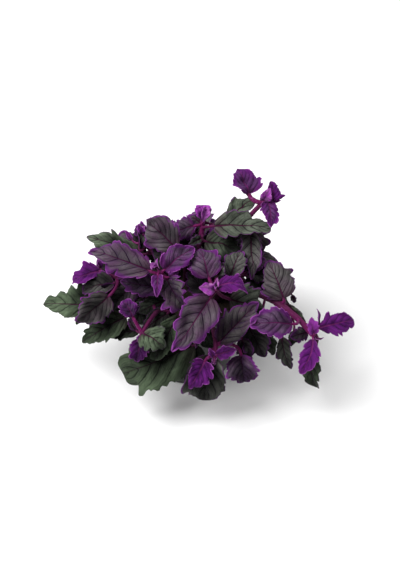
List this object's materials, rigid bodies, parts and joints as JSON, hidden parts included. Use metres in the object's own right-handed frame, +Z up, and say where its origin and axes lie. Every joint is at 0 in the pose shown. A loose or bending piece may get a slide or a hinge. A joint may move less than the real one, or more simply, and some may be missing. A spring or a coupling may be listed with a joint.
{
  "type": "potted purple passion plant",
  "caption": "Leafy houseplant with toothed purple-edged velvety leaves on arching and trailing stems, rooted in soil in a plain round tapered pot.",
  "frame": {"origin": "middle of the pot's flat underside", "axes": "+Z up along the pot's axis, -Y toward the viewer of the plant's front, +X to that viewer's right"},
  "size_m": [0.3026, 0.2347, 0.2036],
  "materials": {
    "pot": "plain dark moulded plastic, slightly satin",
    "soil": "crumbly dark potting soil with small light grains",
    "foliage_purple": "velvety leaves with violet hairs on magenta stems",
    "foliage_green": "velvety grey-green leaves with violet hairs on magenta stems"
  },
  "bodies": {
    "root": {"pot": "pot", "potting_soil": "soil", "shoot_mid_left": "foliage_purple", "shoot_left": "foliage_purple", "shoot_top_left": "foliage_green", "shoot_top": "foliage_green", "shoot_top_right": "foliage_purple", "shoot_middle": "foliage_purple", "shoot_right": "foliage_purple", "shoot_front": "foliage_purple", "shoot_front_left": "foliage_green", "shoot_low_left": "foliage_green", "shoot_low_front": "foliage_green", "shoot_crown_1": "foliage_purple", "shoot_crown_2": "foliage_green", "shoot_crown_3": "foliage_green", "shoot_back_1": "foliage_green", "shoot_back_2": "foliage_purple", "shoot_back_3": "foliage_green", "shoot_back_4": "foliage_green", "shoot_hanging_1": "foliage_purple", "shoot_hanging_2": "foliage_green", "shoot_hanging_3": "foliage_purple", "shoot_hanging_4": "foliage_green"}
  },
  "joints": []
}
